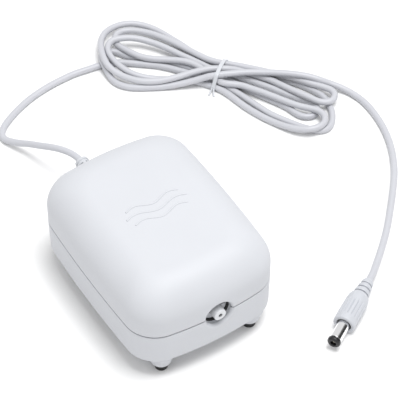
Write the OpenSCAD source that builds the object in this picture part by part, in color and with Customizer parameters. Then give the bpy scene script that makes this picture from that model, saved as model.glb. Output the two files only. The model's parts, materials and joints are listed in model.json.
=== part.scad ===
// Aquarium air pump: a swinging magnet arm works a rubber diaphragm over a valve block.
// Floor at z = 0, outlet on -Y, cord leaves on +Y. Millimetres.

/* [Casing] */
// casing width along X
casing_width = 72; // [60:1:90]
// casing length along Y
casing_length = 96; // [80:1:120]
// height of the top above the floor
casing_top = 52; // [44:1:64]
// height of the seam between base and cover
seam_height = 28; // [24:0.5:34]
// height of the underside of the casing
casing_bottom = 10; // [6:0.5:14]
// wall thickness
wall = 2; // [1.2:0.1:3]
// radius of the casing's corners seen from above
corner_radius = 15; // [8:1:20]
// how far the long sides bow outwards
side_bow = 1.8; // [0.5:0.1:4]
// how far the front and back bow outwards
end_bow = 4; // [1:0.1:6]
// size of the rounding round the top
top_round = 16; // [8:1:20]

/* [Feet] */
// foot distance from the centre along X
foot_x = 22.5; // [15:0.5:26]
// foot distance from the centre along Y
foot_y = 39.5; // [28:0.5:41]
// rubber foot radius
foot_radius = 3; // [2:0.1:5]

/* [Outlet] */
// outlet offset from the middle along X
outlet_x = 2; // [-6:0.5:6]
// radius of the round hole around the outlet
outlet_hole_radius = 5.9; // [5:0.1:8]
// radius of the outlet nozzle at its tip
nozzle_radius = 2.75; // [2:0.05:4]
// radius of the air way in the nozzle
nozzle_bore = 1.1; // [0.8:0.05:2]

/* [Drive] */
// distance of the arm's pivot from the middle, towards the outlet
pivot_offset = 24; // [20:0.5:26]
// pivot pin radius
pin_radius = 1.5; // [1:0.05:2]
// running clearance round the pivot pin
pin_clearance = 0.03; // [0.01:0.01:0.1]

/* [Cord and plug] */
// cord diameter
cord_diameter = 3.2; // [2.5:0.1:5]
// outer radius of the plug's metal sleeve
sleeve_radius = 2.75; // [2.5:0.05:2.9]
// radius of the hole in the middle of the plug
plug_bore = 1.05; // [0.8:0.05:1.3]
// radius of the plug's moulded grip
grip_radius = 5.1; // [3.5:0.1:6]

/* [Hidden] */
$fn = 64;
half_w = casing_width / 2;
half_l = casing_length / 2;
cord_r = cord_diameter / 2;
axis_z = seam_height + 1;
pump_y = -4;
pivot_y = -pivot_offset;
core_z = 20;
gland_z = 18;
gland_end = 69.6;
hank_x = 89;
hank_y = 96;
hank_turn = -50;
plug_x = 45;
plug_y = -71.9;
plug_turn = 32;

// Plan outline: four bowed sides joined by round corners, one quarter worked out and mirrored.
side_r = (half_l * half_l + side_bow * side_bow) / (2 * side_bow);
end_r = (half_w * half_w + end_bow * end_bow) / (2 * end_bow);
side_c = [half_w - side_r, 0];
end_c = [0, half_l - end_r];
gap_c = norm(end_c - side_c);
along = (pow(side_r - corner_radius, 2) - pow(end_r - corner_radius, 2) + gap_c * gap_c) / (2 * gap_c);
across = sqrt(pow(side_r - corner_radius, 2) - along * along);
unit_c = (end_c - side_c) / gap_c;
corner_c = side_c + along * unit_c + across * [-unit_c[1], unit_c[0]];
turn_a = atan2(corner_c[1] - side_c[1], corner_c[0] - side_c[0]);
turn_b = atan2(corner_c[1] - end_c[1], corner_c[0] - end_c[0]);

function arc(c, r, a, b, n, first) =
    [for (i = [first : n]) c + r * [cos(a + (b - a) * i / n), sin(a + (b - a) * i / n)]];
quarter = concat(arc(side_c, side_r, 0, turn_a, 2, 0),
    arc(corner_c, corner_radius, turn_a, turn_b, 6, 1),
    arc(end_c, end_r, turn_b, 90, 3, 1));
last = len(quarter) - 1;
plan = concat(quarter,
    [for (i = [last - 1 : -1 : 0]) [-quarter[i][0], quarter[i][1]]],
    [for (i = [1 : last]) [-quarter[i][0], -quarter[i][1]]],
    [for (i = [last - 1 : -1 : 1]) [quarter[i][0], -quarter[i][1]]]);

function plan_in(inset) = [for (p = plan) [p[0] * (1 - inset / half_w), p[1] * (1 - inset / half_l)]];

// A closed body from [inset, height] rows of the plan outline.
module stack(rows) {
    n = len(plan);
    m = len(rows);
    points = [for (row = rows) each [for (p = plan_in(row[0])) [p[0], p[1], row[1]]]];
    sides = [for (j = [0 : m - 2]) each [for (i = [0 : n - 1]) each [
        [j * n + i, (j + 1) * n + i, (j + 1) * n + (i + 1) % n],
        [j * n + i, (j + 1) * n + (i + 1) % n, j * n + (i + 1) % n]]]];
    polyhedron(points, concat(sides, [[for (i = [0 : n - 1]) i]],
        [[for (i = [n - 1 : -1 : 0]) (m - 1) * n + i]]));
}

dome_start = casing_top - top_round;
function dome(thick) = [for (a = [0 : 15 : 90])
    [thick + (top_round - thick) * (1 - cos(a)), dome_start + (top_round - thick) * sin(a)]];

// A round cord or wire swept along points, with the end directions given.
function unit(v) = v / norm(v);
function heading(path, i, from, to) = i == 0 ? unit(from)
    : i == len(path) - 1 ? unit(to)
    : unit(unit(path[i + 1] - path[i]) + unit(path[i] - path[i - 1]));
function cord_ring(p, way, r, n) =
    let (side = unit(cross(way, [0, 0, 1])), top = cross(side, way))
    [for (k = [0 : n - 1]) p + r * (cos(360 * k / n) * side + sin(360 * k / n) * top)];
module cord(path, r, n, from, to) {
    m = len(path);
    points = [for (i = [0 : m - 1]) each cord_ring(path[i], heading(path, i, from, to), r, n)];
    sides = [for (j = [0 : m - 2]) each [for (i = [0 : n - 1]) each [
        [j * n + i, j * n + (i + 1) % n, (j + 1) * n + (i + 1) % n],
        [j * n + i, (j + 1) * n + (i + 1) % n, (j + 1) * n + i]]]];
    polyhedron(points, concat(sides, [[for (i = [n - 1 : -1 : 0]) i]],
        [[for (i = [0 : n - 1]) (m - 1) * n + i]]));
}

// Routes of the cord on the floor and of the hose and wires inside.
lead_route = [[0, gland_end, 18], [-1, 73, 17.6], [-2, 77, 16.8], [-3, 83, 14.5], [-5, 89, 11.5],
    [-7, 95, 8.5], [-10, 101, 6], [-13, 106, 4], [-15, 111, 2.4], [-16, 116, 1.8], [-14, 120, 1.7],
    [-9, 124, 1.7], [0, 128.5, 1.7], [9, 132, 1.7], [20, 134, 1.7], [33, 134.5, 1.7], [43, 132.5, 1.7]];
out_route = [[108, 84.5, 5], [115, 80.5, 4.6], [123, 75, 3.8], [131, 68, 3], [136, 61, 2.2],
    [139, 52, 1.8], [141, 42, 1.7], [141, 28, 1.7], [137, 14, 1.7], [130, 3, 1.7], [121, -10, 1.7],
    [110, -23, 1.7], [98, -34.5, 1.9], [88, -43.4, 3.4], [82, -48.4, 4.7], [77.23, -51.76, grip_radius]];
hose_route = [[-3.5, -37, 28], [-9, -37, 28], [-13.5, -35, 28.2], [-18, -31.5, 28.5],
    [-23, -27.5, 28.8], [-27, -24, 29], [-28.5, -21.5, 29], [-28.5, -18.5, 29]];
cord_wire = [[0, 43, 18], [6, 40.5, 16], [10, 36, 15], [13.2, 30, 14.6], [13.2, 22, 14.6],
    [13.5, 17.5, 16], [14, 15, 19], [14, 13.2, 21.6], [14, 12, 22.4]];
coil_wire = [[8, 17, 16], [8.6, 15, 16], [12, 13.6, 16.2], [18, 13.4, 17], [23.5, 14, 19],
    [26, 13.4, 21.6], [26, 12, 22.4]];

module at_feet() {
    for (x = [-foot_x, foot_x], y = [-foot_y, foot_y]) translate([x, y, 0]) children();
}

module block(from, to) {
    translate(from) cube(to - from);
}

module along_x(x, y, z) {
    translate([x, y, z]) rotate([0, 90, 0]) children();
}

module base_skin() {
    stack([[2.2, casing_bottom], [1.1, casing_bottom + 0.4], [0.45, casing_bottom + 1.4],
        [0.3, casing_bottom + 3], [0, seam_height - 0.25], [wall, seam_height - 0.25],
        [wall + 0.3, casing_bottom + wall + 1.3], [wall + 1.6, casing_bottom + wall]]);
}

module seam_lip() {
    difference() {
        union() {
            translate([0, 0, 24.5]) linear_extrude(3) polygon(plan_in(wall - 0.5));
            translate([0, 0, 27.3]) linear_extrude(2.7) polygon(plan_in(wall + 0.15));
        }
        translate([0, 0, 20]) linear_extrude(12) polygon(plan_in(wall + 1.1));
        at_feet() translate([0, 0, 20]) cylinder(h = 12, r = 4.4);
    }
}

module floor_bosses() {
    translate([-4, 0, 11]) cylinder(h = 4.5, r = 10);
    block([-25, -17, 11], [-17, -12, 15]);
    block([-25, 4, 11], [-17, 9, 15]);
    for (y = [-21, 13]) translate([-21, y, 11]) cylinder(h = 4, r = 2.6);
    for (x = [-6, 6]) translate([x, -24.5, 11]) cylinder(h = 3, r = 2.4);
    for (x = [11, 29], y = [-27, 9]) translate([x, y, 11]) cylinder(h = 7, r = 2.4);
    for (x = [-22.3, 22.3]) translate([x, 32.6, 11]) cylinder(h = 7.8, r = 2.3);
    block([-18, 33, 11], [-15.6, 38, core_z]);
    block([15.6, 33, 11], [18, 38, core_z]);
}

module nozzle_cradle() {
    difference() {
        block([-5, -43.4, 11], [9, -40.1, 28]);
        translate([outlet_x, -38, seam_height]) rotate([90, 0, 0]) cylinder(h = 7, r = 3.35);
        block([-3.2, -42.25, 23], [7.2, -40.75, 31]);
    }
}

module base_shell() {
    color([0.93, 0.93, 0.91]) difference() {
        union() {
            base_skin();
            seam_lip();
            for (x = [-foot_x, foot_x], y = [-foot_y, foot_y]) {
                translate([x, y, 4]) cylinder(h = 1.01, r1 = 4.6, r2 = 5.2);
                translate([x, y, 5]) cylinder(h = 8, r = 5.2);
            }
            floor_bosses();
            nozzle_cradle();
        }
        outlet_cut();
        for (x = [-foot_x, foot_x], y = [-foot_y, foot_y]) {
            translate([x, y, 3]) cylinder(h = 6, r = foot_radius + 0.05);
            translate([x, y, 8]) cylinder(h = 3, r = 2.9);
            translate([x, y, 10]) cylinder(h = 4, r = 1.7);
        }
        translate([0, 50, gland_z]) rotate([90, 0, 0]) cylinder(h = 8, r = 4);
        translate([-4, 0, 9]) cylinder(h = 2, r = 9.4);
        translate([-4, 0, 9]) cylinder(h = 8, r = 8.4);
        for (y = [-21, 13]) translate([-21, y, 12.5]) cylinder(h = 3, r = 1);
        for (x = [-6, 6]) translate([x, -24.5, 12.2]) cylinder(h = 3, r = 1);
        for (x = [11, 29], y = [-27, 9]) translate([x, y, 13]) cylinder(h = 6, r = 1);
        for (x = [-22.3, 22.3]) translate([x, 32.6, 13]) cylinder(h = 7, r = 1);
    }
}

module outlet_cut() {
    translate([outlet_x, -half_l, seam_height]) rotate([-90, 0, 0]) {
        translate([0, 0, -2]) cylinder(h = 6, r = outlet_hole_radius);
        translate([0, 0, -1]) cylinder(h = 3.4, r1 = 9.2, r2 = outlet_hole_radius);
    }
}

module top_cover() {
    color([0.93, 0.93, 0.91]) difference() {
        union() {
            stack(concat([for (i = [6 : -1 : 0]) dome(wall)[i]], [[wall, seam_height + 0.25],
                [0, seam_height + 0.25]], dome(0)));
            for (x = [-foot_x, foot_x], y = [-foot_y, foot_y]) {
                translate([x, y, 13.2]) cylinder(h = 27.8, r = 4);
                translate([x, y, 40.9]) cylinder(h = 5.2, r1 = 4, r2 = 1.6);
            }
        }
        outlet_cut();
        for (x = [-foot_x, foot_x], y = [-foot_y, foot_y])
            translate([x, y, 12]) cylinder(h = 14, r = 1.25);
    }
}

module case_screws() {
    color([0.62, 0.63, 0.65]) at_feet() difference() {
        union() {
            translate([0, 0, 9.1]) cylinder(h = 1.9, r = 2.6);
            translate([0, 0, 10.9]) cylinder(h = 13, r = 1.2);
        }
        for (a = [0, 90]) rotate([0, 0, a]) translate([-1.5, -0.25, 9]) cube([3, 0.5, 1]);
    }
}

module foot() {
    color([0.07, 0.07, 0.07]) rotate_extrude() polygon([[0, 0], [foot_radius - 0.6, 0],
        [foot_radius - 0.2, 0.2], [foot_radius, 0.7], [foot_radius, 8.6], [0, 8.6]]);
}
module front_left_foot() { translate([-foot_x, -foot_y, 0]) foot(); }
module front_right_foot() { translate([foot_x, -foot_y, 0]) foot(); }
module rear_left_foot() { translate([-foot_x, foot_y, 0]) foot(); }
module rear_right_foot() { translate([foot_x, foot_y, 0]) foot(); }

module filter_cap() {
    color([0.9, 0.9, 0.88]) translate([-4, 0, 0]) difference() {
        union() {
            translate([0, 0, 10.1]) cylinder(h = 0.85, r = 9.2);
            translate([0, 0, 10.5]) cylinder(h = 1.6, r = 8.3);
        }
        translate([0, 0, 11.2]) cylinder(h = 2, r = 7.2);
        for (y = [-4.5 : 1.5 : 4.5]) translate([-4, y - 0.35, 9]) cube([8, 0.7, 4]);
    }
}

module filter_pad() {
    color([0.85, 0.86, 0.84]) translate([-4, 0, 12.2]) cylinder(h = 3, r = 8.3);
}

module outlet_nozzle() {
    color([0.95, 0.95, 0.94]) difference() {
        union() {
            translate([outlet_x, -34, seam_height]) rotate([90, 0, 0]) {
                translate([0, 0, 7]) cylinder(h = 6.9, r = nozzle_radius);
                translate([0, 0, 0]) cylinder(h = 7, r = 3.2);
                translate([0, 0, 6.9]) cylinder(h = 1.2, r = 4.8);
            }
            along_x(-7.5, -37, seam_height) cylinder(h = 8, r = 1.95);
            along_x(-7.5, -37, seam_height) cylinder(h = 2, r1 = 1.95, r2 = 2.3);
        }
        translate([outlet_x, -36, seam_height]) rotate([90, 0, 0]) cylinder(h = 13, r = nozzle_bore);
        along_x(-8, -37, seam_height) cylinder(h = 10, r = 1.2);
    }
}

module outlet_hose() {
    color([0.75, 0.76, 0.75]) difference() {
        cord(hose_route, 3, 12, [-1, 0, 0], [0, 1, 0]);
        along_x(-8, -37, seam_height) cylinder(h = 6, r = 2.35);
        translate([-28.5, -23, axis_z]) rotate([-90, 0, 0]) cylinder(h = 6, r = 2.05);
    }
}

module valve_block() {
    color([0.88, 0.88, 0.86]) difference() {
        union() {
            block([-26, -18, 15], [-16, 10, 41]);
            along_x(-16.1, pump_y, axis_z) cylinder(h = 4.6, r = 11);
            block([-25, -24, 15], [-17, -17.9, 17.5]);
            block([-25, 9.9, 15], [-17, 16, 17.5]);
        }
        along_x(-16, pump_y, axis_z) cylinder(h = 6, r = 9.2);
        block([-27, -14, 22], [-19, -5.5, 37]);
        block([-27, -3.5, 22], [-19, 6.5, 37]);
        for (y = [-8.6, 0.2]) along_x(-20, y, axis_z) cylinder(h = 5, r = 1.5);
        for (y = [-21, 13]) translate([-21, y, 14]) cylinder(h = 4, r = 1.3);
        for (y = [-16, 8.2], z = [19.5, 38.5]) along_x(-27, y, z) cylinder(h = 7, r = 1.05);
    }
}

module valve_gasket() {
    color([0.12, 0.12, 0.12]) difference() {
        block([-26.6, -18, 15.4], [-26, 10, 41]);
        block([-28, -14, 22], [-25, -5.5, 37]);
        block([-28, -3.5, 22], [-25, 6.5, 37]);
        for (y = [-16, 8.2], z = [19.5, 38.5]) along_x(-27, y, z) cylinder(h = 3, r = 1.3);
    }
}

module valve_cover() {
    color([0.9, 0.9, 0.88]) difference() {
        union() {
            block([-31, -18, 16], [-26.6, 10, 41]);
            translate([-28.6, -22.5, axis_z]) rotate([-90, 0, 0]) cylinder(h = 5, r = 1.95);
        }
        block([-29.6, -3.5, 22], [-26, 6.5, 37]);
        block([-29.6, -14, 32], [-26, -5.5, 37]);
        translate([-28.5, -23, axis_z]) rotate([-90, 0, 0]) cylinder(h = 22, r = 1);
        for (z = [33.5, 35.5]) along_x(-32, -10, z) cylinder(h = 4, r = 0.8);
        for (y = [-16, 8.2], z = [19.5, 38.5]) along_x(-32, y, z) cylinder(h = 6, r = 1.3);
    }
}

module valve_screws() {
    color([0.65, 0.66, 0.68]) for (y = [-16, 8.2], z = [19.5, 38.5]) {
        along_x(-32.2, y, z) cylinder(h = 1.2, r = 1.7);
        along_x(-31.1, y, z) cylinder(h = 10, r = 1);
    }
}

module block_screws() {
    color([0.65, 0.66, 0.68]) for (y = [-21, 13]) {
        translate([-21, y, 17.5]) cylinder(h = 1.5, r = 2.2);
        translate([-21, y, 13]) cylinder(h = 4.6, r = 0.95);
    }
}

module inlet_flap() {
    color([0.16, 0.16, 0.17]) {
        block([-15.95, -11.6, 26.6], [-15.35, -6.4, 31.4]);
        translate([-15.65, -11.6, 26.6]) cylinder(h = 4.8, r = 0.3);
    }
}

module outlet_flap() {
    color([0.16, 0.16, 0.17]) {
        block([-19.65, -2.2, 26.6], [-19.05, 3, 31.4]);
        translate([-19.35, 3, 26.6]) cylinder(h = 4.8, r = 0.3);
    }
}

module flap_retainers() {
    color([0.9, 0.9, 0.88]) {
        block([-16, -12.5, 27.2], [-14.8, -12, 30.8]);
        block([-20.2, 3.4, 26.6], [-19, 4.2, 31.4]);
    }
}

module diaphragm() {
    color([0.11, 0.11, 0.12]) along_x(0, pump_y, axis_z) rotate_extrude() polygon([[11.05, -15.5],
        [12.5, -15.5], [12.5, -10.8], [11.6, -10], [10.2, -9.6], [9.2, -8.6], [8.4, -6], [7.2, -4.6],
        [6, -3], [1.2, -3], [1.2, -4.35], [5.6, -4.35], [6.6, -5.2], [7.6, -6.6], [8.5, -9.2],
        [9.6, -10.6], [10.8, -11.1], [11.05, -11.4]]);
}

module diaphragm_clamp() {
    color([0.6, 0.61, 0.63]) along_x(-6.4, pump_y, axis_z) difference() {
        cylinder(h = 2, r = 4.6);
        translate([0, 0, -1]) cylinder(h = 4, r = 1.05);
    }
}

module diaphragm_screw() {
    color([0.65, 0.66, 0.68]) {
        along_x(1, pump_y, axis_z) cylinder(h = 1.5, r = 2.3);
        along_x(-7.2, pump_y, axis_z) cylinder(h = 8.3, r = 1);
    }
}

module swing_arm() {
    color([0.2, 0.2, 0.21]) difference() {
        union() {
            block([-1, pivot_y, 24], [1, 9, 34]);
            translate([0, pivot_y, 23]) cylinder(h = 12, r = 4);
            along_x(-3, pump_y, axis_z) cylinder(h = 2.5, r = 5);
            block([-3, 5.5, 23], [3, 9, 35]);
        }
        translate([0, pivot_y, 22]) cylinder(h = 14, r = 2.6);
        along_x(-4, pump_y, axis_z) cylinder(h = 6, r = 1.05);
    }
}

module arm_bush() {
    color([0.72, 0.55, 0.25]) translate([0, pivot_y, 0]) difference() {
        translate([0, 0, 22.6]) cylinder(h = 12.8, r = 2.58);
        translate([0, 0, 22]) cylinder(h = 14, r = pin_radius + pin_clearance);
    }
}

module pivot_bracket() {
    color([0.7, 0.71, 0.72]) difference() {
        union() {
            block([-5, -30, 14], [5, -28.6, 38]);
            block([-5, -30, 20.5], [5, -20, 21.8]);
            block([-5, -30, 36.6], [5, -20, 38]);
            block([-8.3, -28.7, 14], [8.3, -21, 15.4]);
            block([-5, -30, 14], [5, -28, 15.4]);
        }
        translate([0, pivot_y, 19]) cylinder(h = 20, r = pin_radius + 0.02);
        for (x = [-6, 6]) translate([x, -24.5, 13]) cylinder(h = 4, r = 1.3);
    }
}

module pivot_pin() {
    color([0.75, 0.76, 0.78]) translate([0, pivot_y, 19.6]) cylinder(h = 19.4, r = pin_radius);
}

module bracket_screws() {
    color([0.65, 0.66, 0.68]) for (x = [-6, 6]) translate([x, -24.5, 0]) {
        translate([0, 0, 15.4]) cylinder(h = 1.4, r = 2.1);
        translate([0, 0, 12.6]) cylinder(h = 3, r = 0.95);
    }
}

module magnet_yoke() {
    color([0.55, 0.56, 0.58]) block([-7.2, 9, 22.5], [7.2, 11, 35.5]);
}

module magnets() {
    color([0.3, 0.31, 0.33]) {
        block([-6.6, 11, 23], [-0.2, 14, 35]);
        block([0.2, 11, 23], [6.6, 14, 35]);
    }
}

module core_stack() {
    color([0.45, 0.46, 0.48]) {
        block([-18, 16, core_z], [-12, 32, 36]);
        block([-4, 16, core_z], [4, 32, 36]);
        block([12, 16, core_z], [18, 32, 36]);
        block([-18, 32, core_z], [18, 38, 36]);
    }
}

module coil_bobbin() {
    color([0.9, 0.89, 0.82]) difference() {
        union() {
            block([-11, 17, 13.5], [11, 18, 42.5]);
            block([-11, 30, 13.5], [11, 31, 42.5]);
            block([-5.4, 17, 18.6], [5.4, 31, 37.4]);
        }
        block([-4.1, 15, 19.9], [4.1, 33, 36.1]);
    }
}

module coil_winding() {
    color([0.72, 0.4, 0.2]) difference() {
        block([-9.8, 18.1, 14.6], [9.8, 29.9, 41.4]);
        block([-5.5, 17, 18.5], [5.5, 31, 37.5]);
    }
}

module coil_tape() {
    color([0.85, 0.75, 0.3]) difference() {
        block([-10.2, 19.5, 14.2], [10.2, 28.5, 41.8]);
        block([-9.9, 18, 14.5], [9.9, 30, 41.5]);
    }
}

module core_strap() {
    color([0.7, 0.71, 0.72]) difference() {
        union() {
            block([-19.4, 32.2, 36.05], [19.4, 35, 37.2]);
            block([-19.4, 32.2, 18.8], [-18.1, 35, 37.2]);
            block([18.1, 32.2, 18.8], [19.4, 35, 37.2]);
            block([-25, 30.2, 18.8], [-18.1, 35, 20]);
            block([18.1, 30.2, 18.8], [25, 35, 20]);
        }
        for (x = [-22.3, 22.3]) translate([x, 32.6, 18]) cylinder(h = 3, r = 1.3);
    }
}

module core_screws() {
    color([0.65, 0.66, 0.68]) for (x = [-22.3, 22.3]) translate([x, 32.6, 0]) {
        translate([0, 0, 20]) cylinder(h = 1.5, r = 2.1);
        translate([0, 0, 13.5]) cylinder(h = 6.6, r = 0.95);
    }
}

module driver_board() {
    color([0.1, 0.35, 0.2]) difference() {
        block([8, -30, 18], [32, 12, 19.6]);
        for (x = [11, 29], y = [-27, 9]) translate([x, y, 17]) cylinder(h = 4, r = 1.3);
    }
}

module board_screws() {
    color([0.65, 0.66, 0.68]) for (x = [11, 29], y = [-27, 9]) translate([x, y, 0]) {
        translate([0, 0, 19.6]) cylinder(h = 1.3, r = 2);
        translate([0, 0, 14]) cylinder(h = 5.7, r = 0.95);
    }
}

module board_capacitor() {
    color([0.12, 0.14, 0.25]) translate([25.5, -17, 19.6]) cylinder(h = 11, r = 4);
}

module driver_chip() {
    color([0.08, 0.08, 0.09]) block([13, -10, 19.7], [19, -2, 21.6]);
}

module power_transistors() {
    color([0.1, 0.1, 0.11]) for (y = [-19, -28.5]) block([15, y, 19.7], [20, y + 6, 22]);
}

module board_inductor() {
    color([0.2, 0.2, 0.22]) translate([25.5, -5, 19.7]) cylinder(h = 5, r = 4.2);
}

module board_diode() {
    color([0.12, 0.12, 0.12]) block([9.5, -20, 19.7], [12, -15.5, 21.8]);
}

module board_resistors() {
    color([0.15, 0.15, 0.16]) for (y = [-12, -9.5, -7]) block([9.2, y, 19.65], [11.2, y + 1.2, 20.2]);
}

module cord_connector() {
    color([0.92, 0.91, 0.86]) block([15.5 - 5, 1, 19.7], [17.5, 5.5, 25.4]);
}

module coil_connector() {
    color([0.92, 0.91, 0.86]) block([22.5, 1, 19.7], [29.5, 5.5, 25.4]);
}

module cord_leads() {
    color([0.75, 0.1, 0.1]) for (s = [-0.75, 0.75])
        cord([for (p = cord_wire) p + [s, 0, s]], 0.55, 6, [1, -0.6, -0.4], [0, -1, 0.3]);
}

module coil_leads() {
    color([0.15, 0.15, 0.6]) for (s = [-0.7, 0.7])
        cord([for (p = coil_wire) p + [s, 0, -s]], 0.5, 6, [0, -1, 0], [0, -1, 0.3]);
}

module cord_gland() {
    color([0.9, 0.9, 0.89]) translate([0, 43, gland_z]) rotate([-90, 0, 0]) rotate_extrude() polygon([[0, 0],
        [4.8, 0], [4.8, 2.5], [3.9, 2.5], [3.9, 5.25], [4.6, 5.25], [4.6, 6.6], [4.2, 7.4],
        [4, 11], [3.3, 11], [3.3, 12.2], [3.8, 12.2], [3.7, 14.4], [3.1, 14.4], [3.1, 15.6], [3.5, 15.6],
        [3.4, 17.8], [2.8, 17.8], [2.8, 19], [3.3, 19], [3.2, 21.2], [2.6, 21.2], [2.6, 22.4],
        [3.1, 22.4], [3, gland_end - 43], [0, gland_end - 43]]);
}

module power_cord_lead() {
    color([0.94, 0.94, 0.92]) cord(lead_route, cord_r, 8, [0, 1, 0], [1, -0.25, 0]);
}

module at_hank() {
    translate([hank_x, hank_y, 0]) rotate([0, 0, hank_turn]) children();
}

module cord_hank() {
    color([0.94, 0.94, 0.92]) at_hank() {
        difference() {
            linear_extrude(9) union() {
                translate([-41, 0.5]) circle(r = 20.5);
                translate([46.5, -6.5]) circle(r = 14.5);
                polygon([[-34, 19.8], [-10, 7.6], [8, 7.4], [46.5, 8], [46.5, -21],
                    [8, -7.4], [-10, -7.6], [-34, -18.8]]);
            }
            block([-1.4, -12, -1], [1.4, 12, 10]);
        }
        block([-1.5, -6.4, 0.9], [1.5, 6.4, 8.1]);
    }
}

module power_cord_out() {
    color([0.94, 0.94, 0.92]) cord(out_route, cord_r, 8, [1, -0.6, -0.1], [-0.866, -0.5, 0]);
}

module cord_tie() {
    color([0.95, 0.95, 0.94]) at_hank() difference() {
        block([-1.3, -7.3, 0], [1.3, 7.3, 9]);
        block([-2, -6.5, 0.8], [2, 6.5, 8.2]);
    }
}

// The plug lies along a level line; x = 0 is its tip.
module at_plug() {
    translate([plug_x, plug_y, grip_radius]) rotate([0, 0, plug_turn]) rotate([0, 90, 0]) children();
}

module plug_overmold() {
    color([0.93, 0.93, 0.91]) at_plug() rotate_extrude() polygon([[3.1, 12.4], [3.6, 12.4], [3.6, 11],
        [4.4, 11], [grip_radius, 11.6], [grip_radius, 15], [4.6, 17], [4.5, 24], [4, 27.2], [3.2, 29.1],
        [2.5, 29.1], [2.5, 29.9], [3, 29.9], [2.8, 32], [2.3, 32], [2.3, 32.8], [2.7, 32.8], [2.5, 35],
        [2.1, 35], [2.1, 35.8], [2.5, 35.8], [2.3, 38], [0, 38], [0, 24.1], [3.1, 24.1]]);
}

module plug_barrel() {
    color([0.8, 0.8, 0.8]) at_plug() difference() {
        union() {
            translate([0, 0, 1.5]) cylinder(h = 11, r = sleeve_radius);
            translate([0, 0, 12]) cylinder(h = 12, r = 3.05);
        }
        translate([0, 0, 1]) cylinder(h = 24, r = 2.35);
    }
}

module plug_insulator() {
    color([0.06, 0.06, 0.06]) at_plug() difference() {
        union() {
            cylinder(h = 1.45, r = sleeve_radius);
            cylinder(h = 23, r = 2.3);
        }
        translate([0, 0, -1]) cylinder(h = 26, r = 1.6);
    }
}

module plug_contact() {
    color([0.8, 0.72, 0.5]) at_plug() difference() {
        translate([0, 0, 0.3]) cylinder(h = 21.7, r = 1.55);
        translate([0, 0, -1]) cylinder(h = 14, r = plug_bore);
    }
}

base_shell();
top_cover();
case_screws();
front_left_foot();
front_right_foot();
rear_left_foot();
rear_right_foot();
filter_cap();
filter_pad();
outlet_nozzle();
outlet_hose();
valve_block();
valve_gasket();
valve_cover();
valve_screws();
block_screws();
inlet_flap();
outlet_flap();
flap_retainers();
diaphragm();
diaphragm_clamp();
diaphragm_screw();
swing_arm();
arm_bush();
pivot_bracket();
pivot_pin();
bracket_screws();
magnet_yoke();
magnets();
core_stack();
coil_bobbin();
coil_winding();
coil_tape();
core_strap();
core_screws();
driver_board();
board_screws();
board_capacitor();
driver_chip();
power_transistors();
board_inductor();
board_diode();
board_resistors();
cord_connector();
coil_connector();
cord_leads();
coil_leads();
cord_gland();
power_cord_lead();
cord_hank();
power_cord_out();
cord_tie();
plug_overmold();
plug_barrel();
plug_insulator();
plug_contact();
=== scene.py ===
import json
import math

import bmesh
import bpy
import numpy as np
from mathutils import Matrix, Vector


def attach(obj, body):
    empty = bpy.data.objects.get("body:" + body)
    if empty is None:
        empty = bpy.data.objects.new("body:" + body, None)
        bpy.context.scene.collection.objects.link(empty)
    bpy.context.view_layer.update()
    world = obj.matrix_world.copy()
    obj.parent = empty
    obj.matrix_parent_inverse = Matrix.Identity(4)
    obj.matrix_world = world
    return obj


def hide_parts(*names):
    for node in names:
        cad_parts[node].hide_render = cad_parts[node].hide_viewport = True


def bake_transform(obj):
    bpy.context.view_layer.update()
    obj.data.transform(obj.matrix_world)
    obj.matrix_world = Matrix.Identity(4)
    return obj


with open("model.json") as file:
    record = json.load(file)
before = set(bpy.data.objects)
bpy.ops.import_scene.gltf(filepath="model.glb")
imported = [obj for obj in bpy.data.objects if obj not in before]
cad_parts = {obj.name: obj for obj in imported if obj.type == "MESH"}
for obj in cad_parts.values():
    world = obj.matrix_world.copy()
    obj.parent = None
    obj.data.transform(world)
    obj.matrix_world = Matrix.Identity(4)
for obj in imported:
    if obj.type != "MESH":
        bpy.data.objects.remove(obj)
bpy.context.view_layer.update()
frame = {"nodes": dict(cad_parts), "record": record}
MM = 0.001

# Sizes shared with the CAD part, in millimetres
HALF_W, HALF_L = 36.0, 48.0
BOTTOM, SEAM, TOP = 10.0, 28.0, 52.0
LOW_EDGE, HIGH_EDGE = 27.68, 28.32  # the two shells' edges, either side of the seam
WALL, ROUND = 2.0, 16.0
FEET = {"front_left_foot": (-22.5, -39.5), "front_right_foot": (22.5, -39.5),
        "rear_left_foot": (-22.5, 39.5), "rear_right_foot": (22.5, 39.5)}
OUTLET = (2.0, 0, SEAM)
FILTER = (-4, 0, 0)
CORD_R = 1.6
CORD_EXIT = (0, 0, 18)
PLUG_TIP = Vector((45.0, -71.9, 5.1))
PLUG_TURN = math.radians(32)
HANK, HANK_TURN = Vector((89.8, 96.6, 0.0)), math.radians(-50)

RIGHT, BACK, UP = (1, 0, 0), (0, 1, 0), (0, 0, 1)
PLUG_AXIS = Vector((math.cos(PLUG_TURN), math.sin(PLUG_TURN), 0.0))


# ---------------------------------------------------------------- mesh helpers

def link(name, data):
    """A new object in the scene."""
    obj = bpy.data.objects.new(name, data)
    bpy.context.scene.collection.objects.link(obj)
    return obj


def shade(mesh, smooth):
    """Smooth shading, with the edges that turn more than this many degrees kept crisp."""
    mesh.polygons.foreach_set("use_smooth", [True] * len(mesh.polygons))
    mesh.set_sharp_from_angle(angle=math.radians(smooth))


def tidy_mesh(obj, smooth):
    bm = bmesh.new()
    bm.from_mesh(obj.data)
    bmesh.ops.remove_doubles(bm, verts=bm.verts, dist=1e-7)
    bmesh.ops.recalc_face_normals(bm, faces=bm.faces)
    bm.to_mesh(obj.data)
    bm.free()
    shade(obj.data, smooth)


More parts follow.
